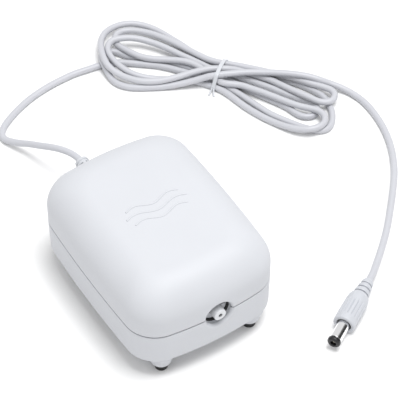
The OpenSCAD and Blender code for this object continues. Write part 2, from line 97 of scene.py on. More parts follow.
def make_object(name, verts, faces, smooth=50.0):
    """An object from points in millimetres."""
    mesh = bpy.data.meshes.new(name)
    mesh.from_pydata([tuple(c * MM for c in v) for v in verts], [], faces)
    mesh.validate()
    obj = link(name, mesh)
    tidy_mesh(obj, smooth)
    return obj


def loft(name, rings, smooth=50.0, closed=False):
    """Skin over rings of equal point counts, capped at its ends, or joined last to first."""
    n, m = len(rings[0]), len(rings)
    verts = [p for ring in rings for p in ring]
    faces = []
    for j in range(m if closed else m - 1):
        k = (j + 1) % m
        for i in range(n):
            h = (i + 1) % n
            faces.append((j * n + i, j * n + h, k * n + h, k * n + i))
    if not closed:
        faces.append(tuple(reversed(range(n))))
        faces.append(tuple((m - 1) * n + i for i in range(n)))
    return make_object(name, verts, faces, smooth)


def around(side, up, radius, turn):
    """The way from an axis to a point that lies a turn round it."""
    return (side * math.cos(turn) + up * math.sin(turn)) * radius


def lathe(name, profile, origin, axis, steps=96, smooth=40.0, shape=None):
    """Turns (distance along the axis, radius) points about the axis.

    A profile that ends where it starts makes a ring. shape(along, radius, turn) may change the radius.
    """
    origin, axis = Vector(origin), Vector(axis).normalized()
    side = Vector(UP).cross(axis)
    if side.length < 1e-6:
        side = Vector(RIGHT)
    side.normalize()
    up = axis.cross(side)
    rings = []
    for along, radius in profile:
        ring = []
        for k in range(steps):
            turn = math.tau * k / steps
            reach = max(shape(along, radius, turn) if shape else radius, 1e-4)
            ring.append(tuple(origin + axis * along + around(side, up, reach, turn)))
        rings.append(ring)
    closed = profile[0] == profile[-1]
    return loft(name, rings[:-1] if closed else rings, smooth, closed)


def bore(low, high, radius):
    """The profile of a plain round hole."""
    return [(low, 0), (low, radius), (high, radius), (high, 0)]


def quarter_turn(n):
    return [math.pi / 2 * k / n for k in range(n + 1)]


def round_corner(points, radius, steps=5):
    """Rounds the corners of an open polyline of 2-D points."""
    out = [points[0]]
    for before, here, after in zip(points, points[1:], points[2:]):
        a, b, c = Vector(before), Vector(here), Vector(after)
        r = min(radius, (a - b).length * 0.45, (c - b).length * 0.45)
        p, q = b + (a - b).normalized() * r, b + (c - b).normalized() * r
        for k in range(steps + 1):
            t = k / steps
            out.append(tuple(p * (1 - t) ** 2 + b * 2 * t * (1 - t) + q * t * t))
    out.append(points[-1])
    return out


def box_piece(name, low, high, bevel=0.25):
    lo, hi = Vector(low), Vector(high)
    verts = [(x, y, z) for x in (lo.x, hi.x) for y in (lo.y, hi.y) for z in (lo.z, hi.z)]
    faces = [(0, 1, 3, 2), (4, 6, 7, 5), (0, 4, 5, 1), (2, 3, 7, 6), (0, 2, 6, 4), (1, 5, 7, 3)]
    obj = make_object(name, verts, faces)
    if bevel:
        bm = bmesh.new()
        bm.from_mesh(obj.data)
        bmesh.ops.bevel(bm, geom=bm.edges[:], offset=bevel * MM, segments=3, profile=0.5, affect="EDGES")
        bm.to_mesh(obj.data)
        bm.free()
        tidy_mesh(obj, 40)
    return obj


def merge(name, *parts):
    """One object from several."""
    bm = bmesh.new()
    for part in parts:
        bm.from_mesh(part.data)
    mesh = bpy.data.meshes.new(name)
    bm.to_mesh(mesh)
    bm.free()
    for part in parts:
        bpy.data.objects.remove(part)
    shade(mesh, 40)
    return link(name, mesh)


def boolean(obj, cutter, operation="DIFFERENCE"):
    """Cuts one piece with another, or keeps what is in both."""
    mod = obj.modifiers.new("cut", "BOOLEAN")
    mod.operation = operation
    mod.solver = "EXACT"
    mod.object = cutter
    bpy.context.view_layer.update()
    done = bpy.data.meshes.new_from_object(obj.evaluated_get(bpy.context.evaluated_depsgraph_get()))
    obj.modifiers.clear()
    obj.data = done
    bpy.data.objects.remove(cutter)
    shade(obj.data, 35)
    return obj


def cut_round(obj, profile, origin, axis, steps=64):
    """Cuts a turned hole out of a piece."""
    return boolean(obj, lathe("hole", profile, origin, axis, steps))


def spline_points(points, spacing):
    """Evenly spaced points on a smooth curve through the given ones."""
    def between(t, start, end, p, q):
        return (end - t) / (end - start) * p + (t - start) / (end - start) * q

    given = np.array(points, float)
    ends = np.vstack([2 * given[0] - given[1], given, 2 * given[-1] - given[-2]])
    fine = []
    for a, b, c, d in zip(ends, ends[1:], ends[2:], ends[3:]):
        t0, t1 = 0.0, np.linalg.norm(b - a) ** 0.5
        t2 = t1 + np.linalg.norm(c - b) ** 0.5
        t3 = t2 + np.linalg.norm(d - c) ** 0.5
        for t in np.linspace(t1, t2, 24, endpoint=False):
            ab, bc, cd = between(t, t0, t1, a, b), between(t, t1, t2, b, c), between(t, t2, t3, c, d)
            abc, bcd = between(t, t0, t2, ab, bc), between(t, t1, t3, bc, cd)
            fine.append(between(t, t1, t2, abc, bcd))
    fine = np.array([*fine, given[-1]])
    steps = np.linalg.norm(np.diff(fine, axis=0), axis=1)
    at = np.concatenate([[0], np.cumsum(steps)])
    want = np.linspace(0, at[-1], int(round(at[-1] / spacing)) + 1)
    return np.column_stack([np.interp(want, at, fine[:, k]) for k in range(3)])


def wire(name, points, radius, sides=16, spacing=1.2):
    """A closed tube mesh along a smooth curve through the points."""
    path = spline_points(points, spacing)
    last = len(path) - 1
    turns = [math.tau * k / sides for k in range(sides)]
    rings, side = [], None
    for i, here in enumerate(path):
        way = Vector(path[min(i + 1, last)] - path[max(i - 1, 0)]).normalized()
        if side is None:
            side = way.cross(Vector((0.3, 0.2, 1.0))).normalized()
        side = (side - way * side.dot(way)).normalized()
        up = way.cross(side)
        rings.append([tuple(Vector(here) + around(side, up, radius, turn)) for turn in turns])
    return loft(name, rings, 60)


# ---------------------------------------------------------------- materials

CLOUD = 45.0  # scale of the slow change of tone and gloss over every surface


def finish(name, colour, rough, metal=0.0, grain=2500.0, bump=0.02, wander=0.06, mottle=0.03,
           coat=0.0, sheen=0.0, streak=None, through=0.0, wear=0.0, lines=None):
    """A procedural surface: colour mottling, uneven roughness, fine grain, and worn edges where asked.

    bump is in millimetres. streak stretches the grain. lines is the axis that fine bands cross, their
    scale and how dark they are.
    """
    mat = bpy.data.materials.new(name)
    mat.use_nodes = True
    nodes, links = mat.node_tree.nodes, mat.node_tree.links
    shader = nodes["Principled BSDF"]
    spot = nodes.new("ShaderNodeTexCoord").outputs["Object"]

    def noise(scale, detail, where):
        node = nodes.new("ShaderNodeTexNoise")
        node.inputs["Scale"].default_value = scale
        node.inputs["Detail"].default_value = detail
        links.new(where, node.inputs["Vector"])
        return node.outputs["Fac"]

    def ranged(source, low, high, to_low=0.0, to_high=1.0):
        node = nodes.new("ShaderNodeMapRange")
        for label, value in zip(("From Min", "From Max", "To Min", "To Max"), (low, high, to_low, to_high)):
            node.inputs[label].default_value = value
        links.new(source, node.inputs["Value"])
        return node.outputs["Result"]

    def mixed(amount, first, second):
        node = nodes.new("ShaderNodeMix")
        node.data_type = "RGBA"
        links.new(amount, node.inputs["Factor"])
        links.new(first, node.inputs[6])  # A of the colour pair; 7 is B
        node.inputs[7].default_value = (*second, 1)
        return node.outputs[2]

    grain_spot = spot
    if streak:
        squeeze = nodes.new("ShaderNodeMapping")
        squeeze.inputs["Scale"].default_value = streak
        links.new(spot, squeeze.inputs["Vector"])
        grain_spot = squeeze.outputs["Vector"]
    height = noise(grain, 4.0, grain_spot)
    slow = noise(CLOUD, 3.0, spot)
    tone = nodes.new("ShaderNodeVectorMath")
    tone.operation = "SCALE"
    tone.inputs[0].default_value = colour
    links.new(ranged(slow, 0.3, 0.7, 1.0 - mottle, 1.0), tone.inputs["Scale"])
    paint = tone.outputs["Vector"]
    if lines:
        axis, scale, darkness = lines
        wave = nodes.new("ShaderNodeTexWave")
        wave.wave_type = "BANDS"
        wave.bands_direction = axis
        wave.inputs["Scale"].default_value = scale
        wave.inputs["Distortion"].default_value = 0.15
        wave.inputs["Detail"].default_value = 1.0
        links.new(spot, wave.inputs["Vector"])
        paint = mixed(wave.outputs["Fac"], paint, [c * darkness for c in colour])
        pile = nodes.new("ShaderNodeMath")
        pile.operation = "MULTIPLY_ADD"
        links.new(wave.outputs["Fac"], pile.inputs[0])
        pile.inputs[1].default_value = 3.0  # the bands stand out this much above the grain
        links.new(height, pile.inputs[2])
        height = pile.outputs["Value"]
    if wear:
        edges = nodes.new("ShaderNodeNewGeometry").outputs["Pointiness"]
        rub = nodes.new("ShaderNodeMath")
        rub.operation = "MULTIPLY"
        links.new(ranged(edges, 0.52, 0.62), rub.inputs[0])
        links.new(slow, rub.inputs[1])
        paint = mixed(rub.outputs["Value"], paint, [min(1.0, c + wear) for c in colour])
    links.new(paint, shader.inputs["Base Color"])
    gloss = ranged(slow, 0.25, 0.75, max(0.02, rough - wander), min(1.0, rough + wander))
    links.new(gloss, shader.inputs["Roughness"])
    relief = nodes.new("ShaderNodeBump")
    relief.inputs["Strength"].default_value = 0.6
    relief.inputs["Distance"].default_value = bump * MM
    links.new(height, relief.inputs["Height"])
    links.new(relief.outputs["Normal"], shader.inputs["Normal"])
    shader.inputs["Metallic"].default_value = metal
    shader.inputs["Coat Weight"].default_value = coat
    shader.inputs["Coat Roughness"].default_value = 0.25
    shader.inputs["Sheen Weight"].default_value = sheen
    if through:
        shader.inputs["Subsurface Weight"].default_value = through
        shader.inputs["Subsurface Radius"].default_value = (0.004, 0.004, 0.004)
        shader.inputs["Subsurface Scale"].default_value = 0.5
    return mat


looks = {
    # outside
    "casing": finish("casing_plastic", (0.545, 0.557, 0.588), 0.55, grain=2600, bump=0.012, wander=0.05,
                     mottle=0.02, wear=0.05),
    "foot_rubber": finish("foot_rubber", (0.012, 0.012, 0.013), 0.5, grain=1800, bump=0.03, mottle=0.2),
    "white_plastic": finish("nozzle_plastic", (0.64, 0.655, 0.68), 0.4, grain=2200, bump=0.01, mottle=0.02),
    "gland_plastic": finish("gland_plastic", (0.54, 0.555, 0.585), 0.5, grain=1800, bump=0.02, mottle=0.03),
    "cord_jacket": finish("cord_jacket", (0.5, 0.507, 0.542), 0.42, grain=1500, bump=0.02, mottle=0.03),
    "tie_plastic": finish("tie_plastic", (0.57, 0.585, 0.62), 0.35, grain=1200, bump=0.02),
    "plug_grip": finish("plug_grip", (0.5, 0.515, 0.55), 0.42, grain=2000, bump=0.015, mottle=0.02,
                        wear=0.04),
    "plug_metal": finish("plug_metal", (0.93, 0.93, 0.94), 0.06, 1.0, grain=900, bump=0.004, wander=0.05,
                         streak=(1, 1, 8)),
    "black_plastic": finish("black_plastic", (0.012, 0.012, 0.014), 0.33, grain=1800, bump=0.015, mottle=0.2,
                            wear=0.03),
    "contact_metal": finish("contact_metal", (0.78, 0.74, 0.62), 0.22, 1.0, grain=1500, bump=0.004),
    # pump and air path
    "inner_plastic": finish("inner_plastic", (0.72, 0.72, 0.69), 0.5, grain=1400, bump=0.02, mottle=0.05,
                            wear=0.05),
    # black rubber for the diaphragm; the same black also paints shade in the outlet hollow, the nozzle's bore
    # and the seam
    "black_rubber": finish("black_rubber", (0.02, 0.02, 0.022), 0.62, grain=1600, bump=0.03, mottle=0.25),
    "hose_rubber": finish("hose_rubber", (0.62, 0.63, 0.62), 0.35, grain=1200, bump=0.02, mottle=0.06,
                          through=0.2),
    "filter_felt": finish("filter_felt", (0.70, 0.71, 0.69), 0.95, grain=1500, bump=0.35, mottle=0.15,
                          sheen=0.4),
    # metal parts
    "screw_steel": finish("screw_steel", (0.60, 0.61, 0.62), 0.3, 1.0, grain=1400, bump=0.012, mottle=0.1,
                          wear=0.15),
    "bracket_steel": finish("bracket_steel", (0.62, 0.63, 0.64), 0.34, 1.0, grain=900, bump=0.012, mottle=0.1,
                            streak=(1, 8, 1), wear=0.15),
    "yoke_steel": finish("yoke_steel", (0.42, 0.43, 0.45), 0.4, 1.0, grain=1100, bump=0.02, mottle=0.15,
                         wear=0.2),
    "ferrite": finish("ferrite", (0.07, 0.07, 0.075), 0.55, 0.2, grain=2600, bump=0.04, mottle=0.25,
                      wear=0.05),
    "bronze": finish("bronze", (0.55, 0.36, 0.16), 0.42, 1.0, grain=2400, bump=0.03, mottle=0.2),
    # electromagnet
    "lamination": finish("lamination", (0.30, 0.30, 0.32), 0.45, 0.9, grain=1400, bump=0.03, mottle=0.2,
                         lines=("Z", 320.0, 0.35)),
    "bobbin_nylon": finish("bobbin_nylon", (0.74, 0.70, 0.58), 0.48, grain=1300, bump=0.015, mottle=0.05,
                           wear=0.04),
    "copper": finish("copper", (0.48, 0.17, 0.07), 0.3, 1.0, grain=1500, bump=0.015, mottle=0.15,
                     lines=("Y", 420.0, 0.45)),
    "tape": finish("tape", (0.75, 0.55, 0.08), 0.25, grain=500, bump=0.03, mottle=0.1, coat=0.4),
    # driver board and wires
    "board": finish("board", (0.02, 0.12, 0.05), 0.35, grain=700, bump=0.02, mottle=0.25, coat=0.3),
    "capacitor_sleeve": finish("capacitor_sleeve", (0.03, 0.04, 0.10), 0.3, grain=800, bump=0.01, mottle=0.1),
    "chip_epoxy": finish("chip_epoxy", (0.02, 0.02, 0.022), 0.55, grain=2600, bump=0.02, mottle=0.2,
                         wear=0.04),
    "connector": finish("connector", (0.78, 0.75, 0.65), 0.45, grain=1500, bump=0.012, mottle=0.04),
    "red_wire": finish("red_wire", (0.50, 0.02, 0.02), 0.35, grain=1500, bump=0.01, mottle=0.08),
    "blue_wire": finish("blue_wire", (0.03, 0.04, 0.35), 0.35, grain=1500, bump=0.01, mottle=0.08),
}


def dress(obj, slot, body=None, *nodes):
    """Gives a piece its finish, the body it rides on and the CAD nodes it replaces."""
    obj.data.materials.clear()
    obj.data.materials.append(looks[slot])
    if body:
        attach(obj, body)
    if nodes:
        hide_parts(*nodes)
    return obj


# Every CAD node gets its finish; the nodes that a piece below replaces aren't shown.
for subpart in frame["record"]["subparts"]:
    node_mesh = frame["nodes"][subpart["node"]].data
    node_mesh.materials.clear()
    node_mesh.materials.append(looks[subpart["material_slot"]])


# ---------------------------------------------------------------- camera

def add_camera():
    data = bpy.data.cameras.new("camera")
    data.sensor_width = 36.0
    data.lens = 193.68
    data.clip_start, data.clip_end = 0.01, 20.0
    camera = link("camera", data)
    camera.location = (-0.3067, -0.5301, 0.7432)
    target = Vector((0.03293, 0.01812, 0.020))
    camera.rotation_euler = (target - camera.location).to_track_quat("-Z", "Y").to_euler()
    bpy.context.scene.camera = camera


add_camera()


# ---------------------------------------------------------------- cord

# The centreline from the gland to the hank, and from the hank to the plug
LEAD = [(0, 66, 18), (-0.2, 70, 18.4), (-1, 73.5, 18.7), (-2.5, 77.5, 18.5), (-4.3, 81.8, 17.5),
        (-6.4, 87, 15.3), (-8.5, 93, 12), (-10.7, 99.5, 8.4), (-13.3, 105, 5.4), (-15.6, 110, 3.2),
        (-16.8, 113.4, 2.1), (-16.6, 116.4, 1.6), (-15, 119, 1.6), (-12.5, 121.4, 1.6), (-9, 123.8, 1.6),
        (-5, 126, 1.6), (0, 128.3, 1.6), (6, 130.6, 1.6), (13, 132.4, 1.6), (20, 133.6, 1.6),
        (27, 134.2, 1.6), (33.5, 134.3, 1.6), (39.6, 133.6, 1.6)]
OUT = [(133.5, 61.5, 3.6), (137, 57.7, 2.6), (139.8, 53, 1.9), (141.6, 47, 1.6), (142.1, 41, 1.6),
       (141.8, 35.5, 1.6), (141, 29.5, 1.6), (139.2, 22, 1.6), (136.3, 14, 1.6), (132.6, 6.6, 1.6),
       (128, -0.8, 1.6), (121.8, -8.7, 1.6), (113, -18.9, 1.6), (104.5, -28.1, 1.6), (96, -36.2, 2.2),
       (87.8, -43.6, 3.7), (82.6, -48.2, 4.8), (78.24, -51.13, 5.05)]

# The hank in its own plane: place along the bundle from its middle, place across it, height above the floor
STRANDS = [
    # in under the left end, out along the floor round the widest right-hand loop, and back
    (-55, -9.5, 1.6), (-51, -6.8, 1.6), (-47, -5, 1.6), (-42, -3.8, 1.6), (-36, -2.6, 1.6),
    (-30, -1.4, 1.6), (-24, -1, 1.6), (-18, -1.2, 1.6), (-11, -1.6, 1.6), (-5, -2.2, 1.6), (0, -3, 1.6),
    (6, -4.2, 1.6), (11, -5.8, 1.6), (16, -7.8, 1.6), (22, -10.6, 1.6), (28, -13.4, 1.6),
    (33.5, -15.6, 1.6), (39, -17, 1.6), (44, -18, 1.6), (49, -18.9, 1.6), (54, -19.2, 1.6),
    (58.5, -18.6, 1.6), (61.5, -16.5, 1.6), (62.6, -13, 1.6), (62, -8.5, 1.6), (60.4, -4.2, 1.6),
    (57.6, 0, 1.6), (54.3, 3.4, 1.6), (50, 5.6, 1.6), (45.6, 7, 1.6), (41, 8, 1.6), (36, 8.6, 1.6),
    (28, 9, 1.6), (20, 8.8, 1.6), (12, 8, 1.6), (6, 7, 1.6), (0, 6.6, 1.6),
    # the largest left-hand loop, over the others at its end and at the tie
    (-5, 7.6, 2), (-11, 10.4, 2.6), (-16.5, 13, 3), (-22.5, 15.8, 3.2), (-28.6, 18.4, 3.2),
    (-34.6, 20.7, 3.4), (-40.3, 21.9, 3.8), (-45.5, 21.9, 4.2), (-50.4, 20.7, 4.6), (-54.7, 18, 4.8),
    (-58, 14, 5), (-59.8, 9.5, 5.2), (-59.8, 4.4, 5.6), (-58.4, -0.8, 6.2), (-56.2, -5.6, 6.6),
    (-53.5, -9.9, 6.6), (-50.6, -13, 6.2), (-47.1, -14.9, 5.6), (-42.5, -16.1, 5), (-37, -16.9, 5),
    (-32, -16.6, 5), (-27.4, -15.4, 5), (-23, -13.5, 5.2), (-18.6, -11, 5.6), (-14.5, -8.3, 6),
    (-10.3, -5.4, 6.6), (-6, -3, 7.2), (-1.7, -0.8, 7.6), (2, 0.6, 7.6),
    # the upper right-hand loop
    (5.5, 2.2, 7.2), (9.6, 4, 6), (14.3, 5.2, 4.6), (19, 5.3, 4.2), (23, 4.9, 4.2), (27.3, 4.3, 4.2),
    (32.8, 2.6, 4.2), (38.4, 0.7, 4.4), (43.8, -0.9, 4.6), (49, -2.2, 4.8), (54.4, -3.1, 4.8),
    (58.4, -1.6, 4.8), (59.9, 2, 4.8), (58.3, 5.6, 4.8), (54.8, 7, 4.8), (50.6, 7.5, 4.8), (46.4, 7.7, 4.8),
    (41.3, 8.2, 4.8), (36.2, 8.4, 4.8), (30, 8.4, 4.8), (23, 8.4, 4.8), (15.5, 8.2, 4.8), (9, 8, 4.8),
    (4, 7.6, 5), (0, 7.2, 5.2),
    # left-hand loop that turns back short and runs in along the middle
    (-5, 7.4, 5.4), (-10, 8.7, 5.4), (-15.6, 10.6, 5.3), (-21.4, 12.6, 5.2), (-27.3, 14.6, 5),
    (-33, 16.1, 4.8), (-38.6, 17.1, 4.6), (-43.8, 16.9, 4.6), (-48.6, 16, 4.6), (-52.2, 14.2, 4.6),
    (-54.3, 11.2, 4.6), (-54.3, 7.8, 4.4), (-52.6, 4.9, 4.4), (-49.8, 2.9, 4.4), (-46.1, 1.3, 4.6),
    (-42.5, 0, 4.8), (-38.5, -0.8, 4.8), (-33.9, -0.8, 4.8), (-29, 0.1, 4.8), (-24.3, 1.2, 4.8),
    (-19.6, 2.2, 4.8), (-14.7, 2.6, 4.8), (-10, 1.9, 4.6), (-5, -0.4, 4.6), (0, -3, 4.8),
    # along the top of the lower right-hand loop, round its end and back on the outside
    (4.5, -5, 4.8), (8, -5.3, 5), (11.3, -4.7, 5), (15, -4.2, 5), (20, -4.7, 5), (25.2, -5.4, 5),
    (30.5, -6.3, 5), (35.8, -7.3, 5), (41, -8.2, 5), (46.3, -8.8, 5), (50.8, -8.8, 5), (54.6, -9, 5),
    (57.7, -10.3, 4.9), (59.6, -13.2, 4.8), (59.6, -16.9, 4.8), (57.5, -19.8, 4.8), (54.9, -21.6, 4.7),
    (51.7, -22.4, 4.3), (47.8, -22.5, 3.6), (43.2, -21.8, 2.8), (38.9, -20.8, 2.2), (34.6, -19.7, 1.8),
    (30.2, -18.4, 1.6), (25.8, -16.8, 1.6), (21, -14.8, 1.6), (16.3, -12.4, 1.6), (11.9, -10, 1.6),
    (7.5, -7.9, 1.6), (3.5, -6.7, 1.8), (-1.2, -6, 2),
    # left-hand loop lying on top
    (-6.5, -5.8, 2), (-12.4, -6.4, 2.2), (-17.9, -7.9, 2.4), (-22.8, -9.8, 3), (-27.7, -11.6, 3.8),
    (-32.3, -12.8, 4.6), (-36.9, -12.9, 5.2), (-41.3, -12.1, 5.8), (-45.8, -10.2, 6.2), (-49.8, -7.6, 6.6),
    (-52.7, -4.8, 6.8), (-54.4, -1.8, 7), (-54.7, 1.4, 7.2), (-53.5, 4, 7.4), (-50.5, 6.3, 7.4),
    (-46.2, 8.6, 7), (-41.5, 9.9, 6.4), (-36.3, 10.2, 5.8), (-30.9, 9.8, 5.4), (-25.4, 8.8, 5),
    (-19.7, 7.3, 4.8), (-14, 6, 4.6), (-8.5, 4.6, 4.4), (-4, 3.2, 4.4), (0.5, 2.4, 4.4),
    # the short bend on the floor beneath, and back
    (5.6, 2.2, 4), (10.6, 2.6, 3.4), (15, 2.8, 2.8), (18.6, 2.8, 2.4), (22.8, 2.2, 2), (28.2, 1.4, 1.8),
    (33.5, 0.4, 1.6), (38.9, -0.6, 1.6), (44.2, -1.4, 1.6), (48.8, -2, 1.6), (52.5, -3.5, 1.6),
    (54, -7, 1.6), (52.5, -10.5, 1.6), (48.8, -12, 1.6), (44.8, -11.2, 1.6), (40.8, -9.2, 1.6),
    (35.7, -7.5, 1.6), (30.4, -6.2, 1.6), (25, -4.9, 1.6), (19.7, -3.6, 1.6), (14.5, -2.2, 1.6),
    (9.4, -0.8, 1.6), (4.2, 0.1, 1.6), (0, 0.4, 1.6),
    # lowest left-hand loop
    (-6, 1, 1.6), (-12.5, 2, 1.6), (-19, 2.5, 1.6), (-25.8, 2.3, 1.6), (-33, 1.4, 1.6), (-39, 0.4, 1.6),
    (-44, 0.1, 1.8), (-48, 1, 2.2), (-51.8, 1.1, 2.6), (-54.9, -0.6, 3.2), (-56.3, -3.8, 4),
    (-55.7, -7.2, 4.5), (-53.4, -10.6, 4.5), (-50.4, -13.8, 3.4), (-47, -16.9, 2), (-43.4, -18.9, 1.6),
    (-39.3, -19.6, 1.6), (-35.4, -19.2, 1.6), (-31.2, -18, 1.6), (-27, -16.4, 1.6), (-22.5, -14.6, 1.8),
    (-18, -12.8, 2.4), (-13.6, -10.8, 3.2), (-9, -8.8, 4.4), (-4.7, -7, 5.8), (-0.7, -5.4, 7),
    # and away over the top
    (2.5, -4, 7.5), (5.9, -2.1, 7.6), (9.4, -0.3, 7.4), (12.9, 1.5, 7.4), (17.4, 3.2, 7.4), (22, 4.6, 7.4),
    (26.7, 5.8, 7.4), (31.5, 6.8, 7.4), (36.3, 7.7, 7.2), (41, 8.5, 6.8), (46, 9.2, 6.2), (50.7, 9.8, 5.2),
]

TIE_U = 2.1  # where the tie grips the bundle


def on_floor(u, v, z):
    """A place in the hank's own plane, in the part's frame."""
    c, s = math.cos(HANK_TURN), math.sin(HANK_TURN)
    return (HANK.x + u * c - v * s, HANK.y + u * s + v * c, z)


def settle(path, gap, rounds):
    """Lifts crossing strands over each other and rests the cord on the floor and on itself."""
    neighbours = 7  # points this close along the cord aren't pushed apart
    give = np.array([0.45, 0.45, 1.0])  # strands part upwards more easily than sideways
    held = (0.985, 0.985, 0.998)  # the share of every shift that a round keeps
    sag = 0.006  # how far the cord drops in a round
    i, j = np.triu_indices(len(path), neighbours)
    near = np.linalg.norm((path[i] - path[j]) * (1, 1, 0.5), axis=1) < 2.2 * gap
    i, j = i[near], j[near]
    shift = np.zeros_like(path)
    for _ in range(rounds):
        moved = path + shift
        between = moved[j] - moved[i]
        far = np.linalg.norm(between, axis=1)
        touch = far < gap
        push = between[touch] / np.maximum(far[touch], 0.05)[:, None]
        push *= ((gap - far[touch]) * 0.3)[:, None] * give
        np.add.at(shift, j[touch], push)
        np.add.at(shift, i[touch], -push)
        shift[:, 2] -= sag
        shift *= held
        for _ in range(2):
            shift[1:-1] = 0.5 * shift[1:-1] + 0.25 * (shift[:-2] + shift[2:])
        shift[0] = shift[-1] = 0
        shift[:, 2] = np.maximum(shift[:, 2], CORD_R - path[:, 2])
    return path + shift


# The route settles on points 2 mm apart, and the cord is then drawn through points 1 mm apart.
route = LEAD + [on_floor(*place) for place in STRANDS] + OUT
cord_line = spline_points(settle(spline_points(route, 2.0), 2 * CORD_R, 300), 1.0)


def add_cord():
    curve = bpy.data.curves.new("power_cord", "CURVE")
    curve.dimensions = "3D"
    curve.bevel_depth = CORD_R * MM
    curve.bevel_resolution = 6
    curve.use_fill_caps = True
    line = curve.splines.new("POLY")
    line.points.add(len(cord_line) - 1)
    for point, place in zip(line.points, cord_line):
        point.co = (*[c * MM for c in place], 1.0)
    line.use_smooth = True
    obj = link("power_cord", curve)
    return dress(obj, "cord_jacket", "housing", "power_cord_lead", "cord_hank", "power_cord_out")


cord = add_cord()


def bundle_section():
    """Where the cord's centreline passes through the tie's plane: place across the bundle, and height."""
    c, s = math.cos(HANK_TURN), math.sin(HANK_TURN)
    du, dv = cord_line[:, 0] - HANK.x, cord_line[:, 1] - HANK.y
    u, v = du * c + dv * s - TIE_U, -du * s + dv * c
    cut = []
    for k in range(len(u) - 1):
        if (u[k] < 0) != (u[k + 1] < 0) and abs(v[k]) < 14:
            cut.append((v[k] + (v[k + 1] - v[k]) * (-u[k] / (u[k + 1] - u[k])), cord_line[k, 2]))
    return cut


def tight_loop(cut, clear, count=120):
    """The tight outline round all the strands.

    It is found from how far they reach in each direction, and the corners where neighbouring lines meet.
    """
    turns = [math.tau * k / count for k in range(count + 1)]
    reach = [max(x * math.cos(t) + z * math.sin(t) for x, z in cut) + clear for t in turns]
    sine = math.sin(turns[1])
    return [((h0 * math.sin(t1) - h1 * math.sin(t0)) / sine, (h1 * math.cos(t0) - h0 * math.cos(t1)) / sine)
            for t0, t1, h0, h1 in zip(turns, turns[1:], reach, reach[1:])]


def add_tie():
    """A flat strap drawn tight round the bundle, its short ends left loose."""
    thick, wide, lean = 0.5, 1.9, 0.14
    loop = tight_loop(bundle_section(), CORD_R + 0.1)
    mid_v = sum(p[0] for p in loop) / len(loop)
    mid_z = sum(p[1] for p in loop) / len(loop)
    # the strap's section: place across its width, and height above the strands, in its own sizes
    section = [(-0.5, 0.0), (-0.5, 0.6), (-0.42, 0.9), (-0.3, 1.0), (0.3, 1.0), (0.42, 0.9), (0.5, 0.6),
               (0.5, 0.0)]
    rings = []
    for x, z in loop:
        away = Vector((x - mid_v, z - mid_z)).normalized()
        along = TIE_U + lean * (z - mid_z)
        rings.append([on_floor(across * wide + along, x + away.x * out * thick,
                               max(0.05, z + away.y * out * thick)) for across, out in section])
    band = loft("tie_band", rings, 50, closed=True)
    low, high = min(loop)[0], max(loop)[0]
    ends = (
        [(-0.6, low - 0.2, 2.6), (-0.8, low - 1.4, 1.4), (-1.0, low - 2.4, 0.7), (-1.2, low - 3.6, 0.5)],
        [(0.2, low - 0.2, 2.4), (0.6, low - 1.5, 1.2), (0.9, low - 2.6, 0.7), (1.5, low - 3.7, 0.5)],
        [(0.6, high - 1.6, 5.6), (1.2, high - 0.8, 6.2), (1.9, high - 0.6, 6.4), (2.6, high - 1.2, 6.0)])
    loose = [wire("tie_end", [on_floor(TIE_U + u, v, z) for u, v, z in end], 0.42, 12, 0.6) for end in ends]
    return dress(merge("tie", band, *loose), "tie_plastic", "housing", "cord_tie")


tie = add_tie()


# ---------------------------------------------------------------- casing

SIDE_BOW, END_BOW, CORNER = 1.8, 4.0, 15.0  # how far the sides and ends bow out, and the corners' radius
HOLE_R, FLARE = 6.4, 1.8  # the outlet's hole, and how far its edge is rounded


def arc(centre, radius, start, end, steps):
    """Points on an arc, with both its ends."""
    turns = [start + (end - start) * k / steps for k in range(steps + 1)]
    return [(centre.x + radius * math.cos(t), centre.y + radius * math.sin(t)) for t in turns]


def plan_outline():
    """Four bowed sides joined by round corners, anticlockwise from +X."""
    side_r = (HALF_L ** 2 + SIDE_BOW ** 2) / (2 * SIDE_BOW)
    end_r = (HALF_W ** 2 + END_BOW ** 2) / (2 * END_BOW)
    side_mid, end_mid = Vector((HALF_W - side_r, 0)), Vector((0, HALF_L - end_r))
    # the corner's centre lies where arcs drawn in by its radius cross
    gap = (end_mid - side_mid).length
    along = ((side_r - CORNER) ** 2 - (end_r - CORNER) ** 2 + gap ** 2) / (2 * gap)
    across = math.sqrt((side_r - CORNER) ** 2 - along ** 2)
    unit = (end_mid - side_mid) / gap
    corner_mid = side_mid + unit * along + Vector((-unit.y, unit.x)) * across
    first = math.atan2(corner_mid.y - side_mid.y, corner_mid.x - side_mid.x)
    second = math.atan2(corner_mid.y - end_mid.y, corner_mid.x - end_mid.x)
    quarter = arc(side_mid, side_r, 0, first, 28)[:-1] + arc(corner_mid, CORNER, first, second, 30)[:-1]
    quarter += arc(end_mid, end_r, second, math.pi / 2, 22)
    half = quarter + [(-x, y) for x, y in reversed(quarter[:-1])]
    return half + [(-x, -y) for x, y in half[1:-1]]


PLAN = plan_outline()


def plan_ring(inset, z):
    """The casing's outline drawn in by an inset, at a height."""
    fx, fy = 1 - inset / HALF_W, 1 - inset / HALF_L
    return [(x * fx, y * fy, z) for x, y in PLAN]


def outlet_cutter():
    """The outlet's hole through the front wall, its edge rounded to a shallow dish."""
    flare = [(-46.2 - FLARE * math.sin(t), HOLE_R + FLARE * (1 - math.cos(t))) for t in quarter_turn(12)]
    profile = [(-40.0, 0.0), (-40.0, HOLE_R)] + flare + [(-52.0, HOLE_R + FLARE), (-52.0, 0.0)]
    return lathe("cutter", profile, OUTLET, BACK, 120)


def outlet_collar(low, high):
    """The half of the collar round the outlet hole that belongs to one shell."""
    profile = [(-46.6, 6.4), (-46.6, 7.8), (-43.6, 7.8), (-43.4, 7.6), (-43.4, 6.6), (-43.6, 6.4),
               (-46.6, 6.4)]
    keep = box_piece("keep", (-20, -50, low), (25, -40, high), 0)
    return boolean(lathe("collar", profile, OUTLET, BACK, 120), keep, "INTERSECT")


